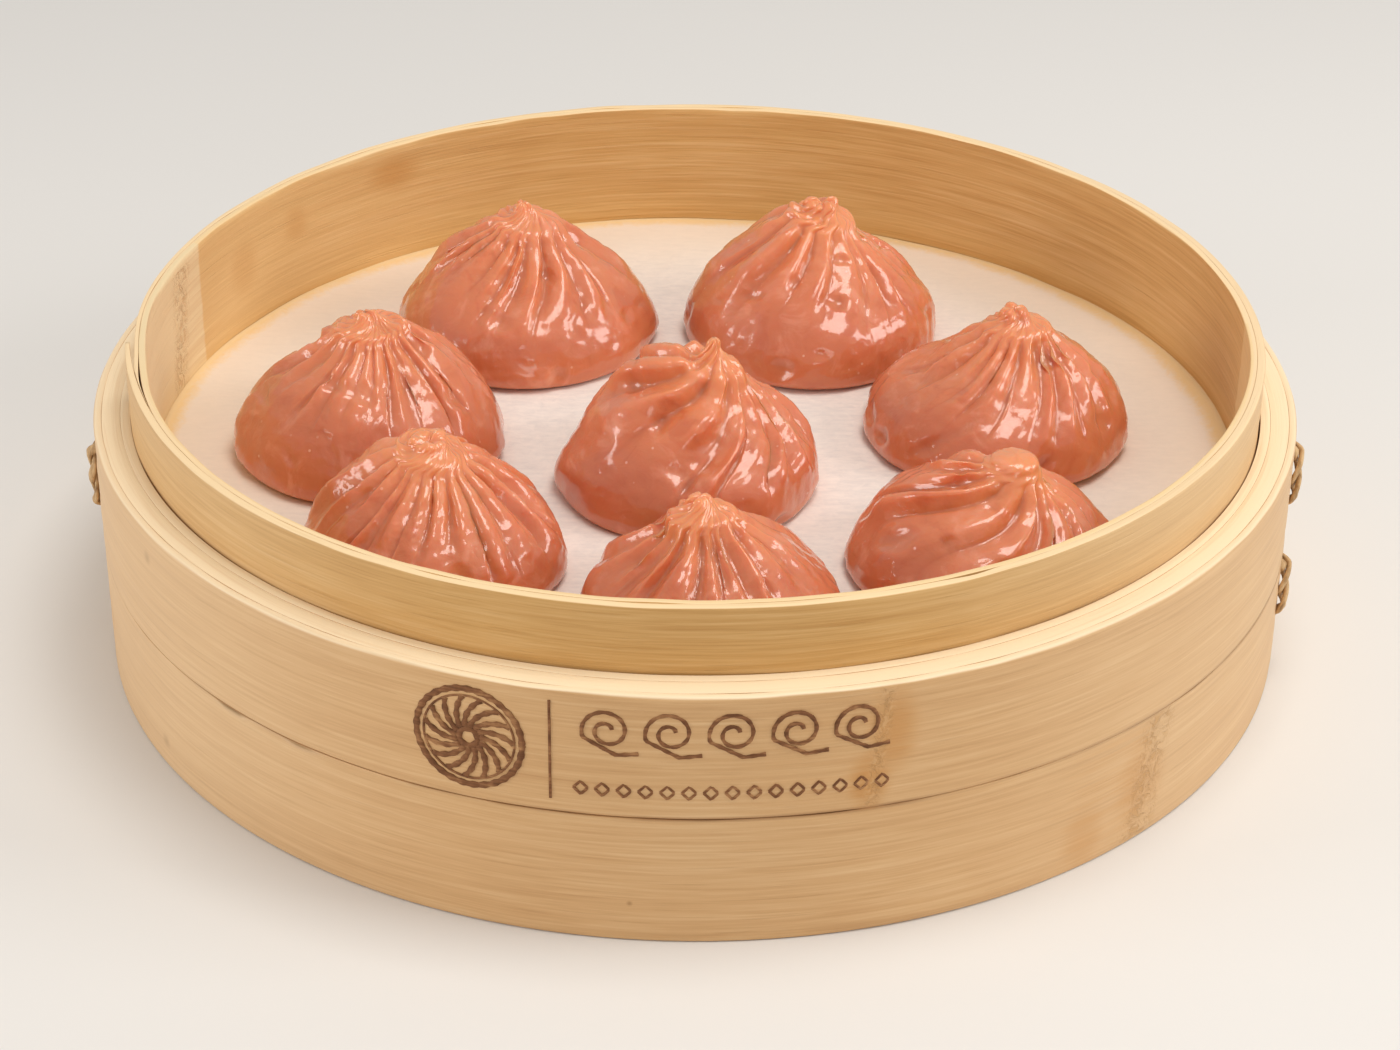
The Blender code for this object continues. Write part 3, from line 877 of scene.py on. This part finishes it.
# For each dumpling: its pleats, where they are finest (degrees, how much), their swirl (radians), where the
# peak stands (mm from the middle), where pleats fade out (share of the way up), their depth, the knot's neck
# and crown radius and its height (mm), how ruffled it is, how far the pleats calm down towards it, how deep
# its dimple is and where it leans (mm), its fuller shoulder (degrees, share of the height), how full it is all
# round, and which side of a pleat is the steep one. PLAIN_DUMPLING has what most of them share.
PLAIN_DUMPLING = dict(ruffle=0.4, calm=0.6, dimple=0.0, steep=1)
DUMPLINGS = {
    "dumpling_back_left": dict(
        pleats=15, fine=(215, 0.30), swirl=0.30, peak=(0.6, 0.5), fade=0.36, depth=1.9, neck=3.3, crown=1.6,
        tip=3.4, lean=(-0.9, 0.3), shoulder=(150, 0.07), full=0.0, seed=21,
    ),
    "dumpling_back_right": dict(
        pleats=15, fine=(-20, 0.30), swirl=0.30, peak=(1.5, 1.6), fade=0.32, depth=2.0, neck=3.3, crown=2.9,
        tip=2.9, ruffle=0.6, dimple=0.9, lean=(0.2, 0.4), shoulder=(180, 0.10), full=0.01, seed=22,
    ),
    "dumpling_left": dict(
        pleats=18, fine=(-95, 0.20), swirl=0.15, peak=(0.8, 0.5), fade=0.34, depth=1.7, neck=3.2, crown=1.8,
        tip=3.0, dimple=0.2, lean=(-0.9, 0.0), shoulder=(20, 0.03), full=0.03, steep=-1, seed=23,
    ),
    "dumpling_centre": dict(
        pleats=12, fine=(-50, 0.50), swirl=0.95, peak=(4.0, 0.0), fade=0.22, depth=3.1, neck=2.5, crown=1.15,
        tip=4.8, ruffle=0.12, calm=0.35, lean=(0.3, 0.2), shoulder=(165, 0.17), full=0.0, seed=24,
    ),
    "dumpling_right": dict(
        pleats=17, fine=(-75, 0.35), swirl=0.40, peak=(2.9, -0.3), fade=0.32, depth=2.0, neck=3.4, crown=2.5,
        tip=3.2, calm=0.7, dimple=0.7, lean=(-0.7, 0.2), shoulder=(-20, 0.03), full=-0.01, seed=25,
    ),
    "dumpling_front_left": dict(
        pleats=17, fine=(-120, 0.30), swirl=0.20, peak=(0.0, 0.0), fade=0.26, depth=2.2, neck=3.7, crown=3.2,
        tip=2.3, ruffle=0.5, calm=0.8, dimple=1.3, lean=(-0.5, 0.3), shoulder=(140, 0.10), full=0.02,
        steep=-1, seed=26,
    ),
    "dumpling_front": dict(
        pleats=15, fine=(-60, 0.25), swirl=0.12, peak=(-1.8, -0.5), fade=0.28, depth=2.1, neck=3.0, crown=2.0,
        tip=2.8, ruffle=0.35, dimple=0.3, lean=(-0.2, 0.2), shoulder=(0, 0.04), full=-0.03, seed=27,
    ),
    "dumpling_front_right": dict(
        pleats=13, fine=(-60, 0.45), swirl=1.05, peak=(4.2, -2.6), fade=0.24, depth=2.7, neck=4.7, crown=3.8,
        tip=3.7, ruffle=0.05, calm=0.95, lean=(0.2, 0.0), shoulder=(160, 0.15), full=0.01, seed=28,
    ),
}
KNOT_LOBES = ((2, 0.35), (3, 0.45), (5, 0.35), (8, 0.12))  # (waves round the knot, their share of its ruffle)
NEIGHBOUR_GAP = 0.25 * MM
NEIGHBOUR_SOFTNESS = 0.8 * MM


def through(points, shares):
    """A smooth curve through control points, read at shares of its length."""
    points = np.array(points, float)
    steps = np.r_[0, np.cumsum(np.hypot(*np.diff(points, axis=0).T))]
    wanted = shares * steps[-1]
    slopes = np.gradient(points, steps, axis=0)
    index = np.clip(np.searchsorted(steps, wanted, side="right") - 1, 0, len(steps) - 2)
    width = steps[index + 1] - steps[index]
    u = ((wanted - steps[index]) / width)[:, None]
    a, b = points[index], points[index + 1]
    ma, mb = slopes[index] * width[:, None], slopes[index + 1] * width[:, None]
    near_start = (2 * u**3 - 3 * u**2 + 1) * a + (u**3 - 2 * u**2 + u) * ma
    return near_start + (-2 * u**3 + 3 * u**2) * b + (u**3 - u**2) * mb


def held_back(points, centre, radius, places, own):
    """Points moved behind the plane half-way to each neighbour that is close enough to touch."""
    for name, (other, other_radius) in places.items():
        gap = other - centre
        distance = float(np.hypot(*gap))
        if name == own or distance > (radius + other_radius) * 1.04:
            continue
        unit = gap / distance
        limit = distance * radius / (radius + other_radius) - NEIGHBOUR_GAP / 2
        along = (points[:, :2] - centre) @ unit
        excess = along - limit + NEIGHBOUR_SOFTNESS
        kept = limit - NEIGHBOUR_SOFTNESS * np.exp(-np.maximum(excess, 0) / NEIGHBOUR_SOFTNESS)
        move = np.where(excess > 0, kept - along, 0.0)
        points[:, :2] += move[:, None] * unit
    return points


def grid_normals(grid):
    """Outward unit normals of a grid of points that wraps round its columns."""
    up = np.gradient(grid, axis=0)
    around = np.roll(grid, -1, axis=1) - np.roll(grid, 1, axis=1)
    normal = np.cross(around, up)
    length = np.linalg.norm(normal, axis=-1, keepdims=True)
    return normal / np.maximum(length, 1e-12)


def make_dumpling(name, look, places):
    spec = {**PLAIN_DUMPLING, **DUMPLINGS[name]}
    dice = np.random.default_rng(spec["seed"])
    (centre, radius), (low, high) = places[name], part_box(name)
    foot = low[2] - 0.25 * MM
    neck_height = high[2] - foot - spec["tip"] * MM
    pleats = spec["pleats"]

    # The meridian: foot, belly and shoulder in shares, then the knot in millimetres.
    body = [(r * radius, h * neck_height / MERIDIAN[-1][1]) for r, h in MERIDIAN]
    neck, crown, tip, dimple = (spec[key] * MM for key in ("neck", "crown", "tip", "dimple"))
    body += [
        ((neck + MERIDIAN[-1][0] * radius) / 2, neck_height + 0.08 * tip),
        (neck, neck_height + 0.24 * tip),
        (0.5 * (neck + crown) * 0.96, neck_height + 0.44 * tip),
        (crown, neck_height + 0.66 * tip),
        (crown * 0.80, neck_height + 0.85 * tip),
        (crown * 0.45, neck_height + 0.96 * tip - 0.3 * dimple),
        (crown * 0.05, neck_height + tip - dimple),
    ]
    share = np.linspace(0, 1, DUMPLING_ROWS) ** 0.92
    base_radius, base_height = through(body, share).T
    base_radius = np.maximum(base_radius, 0.02 * MM)
    height_share = base_height / (neck_height + tip)

    # Columns follow the pleats, so that each crease lies along a line of points.
    finest, finer = math.radians(spec["fine"][0]), spec["fine"][1]
    middle = TURN * (np.arange(pleats) + 0.5) / pleats
    widths = dice.uniform(0.65, 1.35, pleats) * (1 - finer * np.cos(middle - finest))
    widths *= TURN / widths.sum()
    edges = np.r_[0, np.cumsum(widths)[:-1]]
    sway = 0.24 * np.minimum(widths, np.roll(widths, 1))
    drift = dice.uniform(-1, 1, (pleats, 2))
    samples = np.array(PLEAT_SAMPLES)
    climbing = smooth((height_share - 0.25) / 0.3) * (1 - 0.6 * smooth((height_share - 0.8) / 0.2))
    wobble = sway * drift[:, 0] * np.sin(share[:, None] * 9 + 3 * drift[:, 1]) * climbing[:, None]
    start = edges[None, :] + wobble
    end = np.roll(start, -1, axis=1)
    end[:, -1] += TURN
    angle = start[:, :, None] + (end - start)[:, :, None] * samples[None, None, :]
    swirl = spec["swirl"] * smooth((height_share - 0.30) / 0.62) + 1.3 * smooth((height_share - 0.84) / 0.16)
    angle = angle + swirl[:, None, None]

    # Each pleat's section, from crease to crease: a rise to its crest, then a steeper fall. They are ropes near
    # the knot, and narrower ridges with broad valleys further down.
    crest = dice.uniform(0.48, 0.68, (pleats, 1))
    if spec["steep"] < 0:
        crest = 1 - crest
    before = np.clip(samples / crest, 0, 1)
    after = np.clip((samples - crest) / (1 - crest), 0, 1)
    rise, fall = 0.5 - 0.5 * np.cos(math.pi * before), 0.5 + 0.5 * np.cos(math.pi * after)
    ridge = np.where(samples < crest, rise, fall)
    sharpness = 1.35 - 0.5 * smooth((height_share - 0.40) / 0.40)
    section = ridge[None, :, :] ** sharpness[:, None, None]
    crease = np.exp(-((samples / 0.08) ** 2)) + np.exp(-(((1 - samples) / 0.08) ** 2))

    starts_at = spec["fade"] + dice.uniform(-0.14, 0.22, pleats)
    strength = dice.uniform(0.35, 1.15, pleats)
    reach = smooth((height_share[:, None] - starts_at[None, :]) / 0.34)
    spacing = base_radius[:, None] * widths[None, :]
    most = np.minimum(spec["depth"] * strength[None, :] * MM, 0.34 * spacing)
    calm = 1 - spec["calm"] * smooth((height_share - 0.76) / 0.14)
    depth = most * reach * calm[:, None]
    lines = 0.05 * np.sin(TURN * samples[None, :] * 2.5 + dice.uniform(0, TURN, pleats)[:, None])
    fold = depth[:, :, None] * (section - 0.40 + lines[None, :, :] - 0.05 * crease)
    # The creases' painted shade, stronger where the pleats are deep.
    groove_shade = (smooth(depth[:, :, None] / (0.8 * MM)) * crease).reshape(DUMPLING_ROWS, -1)

    columns = pleats * len(samples)
    angle = angle.reshape(DUMPLING_ROWS, columns)
    fold = fold.reshape(DUMPLING_ROWS, columns)
    knot = smooth((height_share - 0.84) / 0.10) * np.minimum(1, base_radius / (1.2 * MM))
    lobes = sum(np.cos(n * angle + dice.uniform(0, TURN)) * size for n, size in KNOT_LOBES)
    fold = fold + spec["ruffle"] * MM * knot[:, None] * lobes
    uneven = sum(dice.uniform(0.004, 0.010) * np.cos(n * (angle - dice.uniform(0, TURN))) for n in (2, 3, 4))
    belly = smooth(base_height / (0.08 * radius))[:, None]
    shoulder_angle, shoulder_lift = math.radians(spec["shoulder"][0]), spec["shoulder"][1]
    facing = np.cos(angle - shoulder_angle)
    facing = np.where(facing > 0, facing, 0.55 * facing)
    from_knot = smooth((base_radius / radius - 0.10) / 0.22)
    arched = (from_knot * np.sin(math.pi * np.clip(base_radius / radius, 0, 1)))[:, None]
    bulge = (spec["full"] + shoulder_lift * facing) * arched
    bulge = bulge * smooth((height_share[:, None] - 0.25) / 0.2)
    out = base_radius[:, None] * (1 + uneven * belly)
    z = base_height[:, None] + bulge * (neck_height + tip)
    lean = smooth(height_share)[:, None]
    tip_lean = smooth((height_share - 0.82) / 0.18)[:, None]
    x = centre[0] + out * np.cos(angle) + (spec["peak"][0] * lean + spec["lean"][0] * tip_lean) * MM
    y = centre[1] + out * np.sin(angle) + (spec["peak"][1] * lean + spec["lean"][1] * tip_lean) * MM
    grid = np.stack([x, y, foot + z], axis=-1)

    # Pleats stand out along the surface's normal and lean over towards their steep side.
    normal = grid_normals(grid)
    around = np.stack([-np.sin(angle), np.cos(angle), np.zeros_like(angle)], axis=-1)
    overhang = 0.22 * spec["steep"] * np.clip(fold, 0, None)
    grid = grid + normal * fold[..., None] + around * overhang[..., None]

    # The filling's lumps, soft dents and the skin's own wrinkles.
    points = grid.reshape(-1, 3)
    normal = grid_normals(grid).reshape(-1, 3)
    on_belly = np.repeat(smooth(base_height / (0.10 * radius)), columns)
    below_knot = np.repeat(1 - smooth((height_share - 0.72) / 0.16), columns)
    lumps = waves(points, 15 * MM, spec["seed"] + 100, 14) * 0.30 * MM
    dents = -np.clip(waves(points, 9 * MM, spec["seed"] + 200, 14) - 1.1, 0, None) * 0.7 * MM
    puckers = waves(points, 3.4 * MM, spec["seed"] + 300, 16) * 0.050 * MM
    wrinkles = waves(points, 1.3 * MM, spec["seed"] + 400, 16) * 0.022 * MM
    move = on_belly * (below_knot * (lumps + dents) + puckers + wrinkles)
    points = points + normal * move[:, None]
    points = held_back(points, np.array(centre), radius, places, name)
    points[:, 2] = np.maximum(points[:, 2], foot)

    faces = capped_grid(DUMPLING_ROWS, columns)
    # Painted shade for the creases: how far each fold dips below its middle, with the creases added.
    crease_shade = np.clip(-fold / (0.55 * spec["depth"] * MM) + 0.4 * groove_shade, 0, 1)
    fold_map = np.stack([np.repeat(height_share, columns), crease_shade.ravel()], axis=-1)
    made = mesh_piece(f"soup_{name}", points, faces, look, {"fold": fold_map})
    finish_piece(made, "dough", name)


def make_dumplings():
    look = skin_material()
    places = {}
    for name in DUMPLINGS:
        low, high = (np.array(corner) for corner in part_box(name))
        size = high - low
        places[name] = ((low[:2] + high[:2]) / 2, float(size[0] + size[1]) / 4)
    for name in DUMPLINGS:
        make_dumpling(name, look, places)


# ---- lashings and ornament


def tube(path, width, thickness, out_hint, sides=8):
    """(points, faces) of a flat-oval strand along a path; out_hint gives the direction of its thin side."""
    path = np.asarray(path)
    along = np.gradient(path, axis=0)
    along /= np.linalg.norm(along, axis=1, keepdims=True)
    thin = out_hint - (out_hint * along).sum(1, keepdims=True) * along
    thin /= np.linalg.norm(thin, axis=1, keepdims=True)
    wide = np.cross(along, thin)
    turn = np.arange(sides) / sides * TURN
    ring = (
        wide[:, None, :] * (np.cos(turn) * width / 2)[None, :, None]
        + thin[:, None, :] * (np.sin(turn) * thickness / 2)[None, :, None]
    )
    return (path[:, None, :] + ring).reshape(-1, 3), capped_grid(len(path), sides)


def join(parts):
    """(points, faces) of several meshes as one."""
    points, faces, start = [], [], 0
    for part_points, part_faces in parts:
        points.append(part_points)
        faces += [tuple(start + i for i in face) for face in part_faces]
        start += len(part_points)
    return np.concatenate(points), faces


def make_lashing(node, look, seed):
    """Two split-cane strands wound round each other, their ends tucked into the wall."""
    low, high = (np.array(corner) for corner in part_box(node))
    middle = (low + high) / 2
    angle = math.atan2(middle[1], middle[0])
    out = np.array([math.cos(angle), math.sin(angle), 0])
    across = np.array([-math.sin(angle), math.cos(angle), 0])
    dice = np.random.default_rng(seed)
    parts = []
    count = 60
    t = np.linspace(0, 1, count)
    tuck = np.minimum(smooth(t / 0.14), smooth((1 - t) / 0.14))
    for k in range(2):
        phase = math.pi * k + dice.uniform(-0.2, 0.2)
        side = 1.25 * MM * np.sin(TURN * 1.25 * t + phase) + dice.uniform(-0.1, 0.1) * MM
        proud = OUTER_RADIUS + (-0.6 + 1.60 * tuck) * MM + 0.50 * MM * tuck * np.cos(TURN * 1.25 * t + phase)
        z = middle[2] + (high[2] - low[2]) * (t - 0.5) * 0.98
        path = proud[:, None] * out + side[:, None] * across
        path[:, 2] = z
        hint = np.tile(out, (count, 1)) + 0.5 * np.cos(TURN * t + phase)[:, None] * across
        parts.append(tube(path, 1.75 * MM, 0.95 * MM, hint))
    points, faces = join(parts)
    finish_piece(mesh_piece(f"cane_{node}", points, faces, look), "cane", node)


def make_lashings():
    look = cane_material()
    for seed, node in enumerate(("lashing_left", "lashing_right_upper", "lashing_right_lower")):
        make_lashing(node, look, seed)


def wall_line(points, width, wavy=0.0):
    """(points, faces) of a flat line on the wall, through points (mm round the wall from the front, mm up)."""
    points = np.asarray(points, float) * MM
    length = np.r_[0, np.cumsum(np.hypot(*np.diff(points, axis=0).T))]
    count = max(int(length[-1] / (0.5 * MM)), 2) + 1
    wanted = np.linspace(0, length[-1], count)
    line = np.stack([np.interp(wanted, length, points[:, k]) for k in (0, 1)], axis=-1)
    along = np.gradient(line, axis=0)
    along /= np.linalg.norm(along, axis=1, keepdims=True)
    across = np.stack([-along[:, 1], along[:, 0]], axis=-1)
    half = width * MM / 2 * (1 + wavy * np.sin(np.arange(count) * 1.7))
    ends = [line - across * half[:, None], line + across * half[:, None]]
    rows = []
    for height in (-0.2 * MM, 0.13 * MM):
        for end in ends:
            turn = -math.pi / 2 + end[:, 0] / OUTER_RADIUS
            radius = OUTER_RADIUS + height + out_of_round(turn)
            rows.append(round_axis(radius, turn, end[:, 1]))
    grid = np.stack([rows[0], rows[1], rows[3], rows[2]], axis=1)
    faces = [face[::-1] for face in grid_faces(count, 4)]
    faces.append((0, 1, 2, 3))
    faces.append(tuple((count - 1) * 4 + k for k in (3, 2, 1, 0)))
    return grid.reshape(-1, 3), faces


def arc(centre, radius, start_deg, end_deg, steps=24):
    turn = np.radians(np.linspace(start_deg, end_deg, steps))
    return np.stack([centre[0] + radius * np.cos(turn), centre[1] + radius * np.sin(turn)], axis=-1)


def make_ornament():
    """A plain burnt ornament: a pleated bun seen from above, a rule, and scrolls over a row of lozenges.

    Sizes are in mm, and places are (mm round the wall from the front, mm up).
    """
    middle_z = 34.2
    bun, bun_radius, petals, petal_start, petal_end = (-34.2, middle_z), 8.6, 15, 1.9, 7.3
    lines = [
        wall_line(arc(bun, bun_radius, 0, 360, 90), 1.0, 0.2),
        wall_line(arc(bun, bun_radius - 1.2, 0, 360, 80), 0.35),
    ]
    for k in range(petals):
        turn = TURN * k / petals
        curl = []
        for r in np.linspace(petal_start, petal_end, 12):
            bent = turn + 0.11 * (petal_end - r)
            curl.append((bun[0] + r * math.cos(bent), bun[1] + r * math.sin(bent)))
        lines.append(wall_line(curl, 0.85, 0.25))
    lines.append(wall_line(arc(bun, 1.5, 0, 360, 30), 0.9, 0.2))
    rule_x = -21.3
    lines.append(wall_line([(rule_x, middle_z - 8.7), (rule_x, middle_z + 8.9)], 0.40))

    pitch, scroll_x, scroll_z, points_each = 9.6, -12.6, 38.6, 50
    turns = np.linspace(math.radians(20), math.radians(560), points_each)
    radii = np.linspace(0.9, 3.9, points_each)
    for k in range(5):
        hub = (scroll_x + pitch * k, scroll_z)
        spiral = [(hub[0] + r * math.cos(a), hub[1] + r * math.sin(a)) for a, r in zip(turns, radii)]
        tail = [(hub[0] + 1.4, hub[1] - 4.2), (hub[0] + 0.5 * pitch, hub[1] - 3.8)]
        lines.append(wall_line(spiral + tail, 0.60, 0.18))
    wide, high = 1.1, 1.2
    for k in range(15):
        x, z = -16.6 + 3.3 * k, 28.0
        lozenge = [(x - wide, z), (x, z + high), (x + wide, z), (x, z - high), (x - wide, z)]
        lines.append(wall_line(lozenge, 0.42))
    points, faces = join(lines)
    finish_piece(mesh_piece("burnt_ornament", points, faces, burn_material()), "bamboo")


# ---- the whole scene


def main():
    make_camera()
    make_studio()
    make_walls()
    make_floor()
    make_liner()
    make_dumplings()
    make_lashings()
    make_ornament()
    bpy.context.view_layer.update()


main()
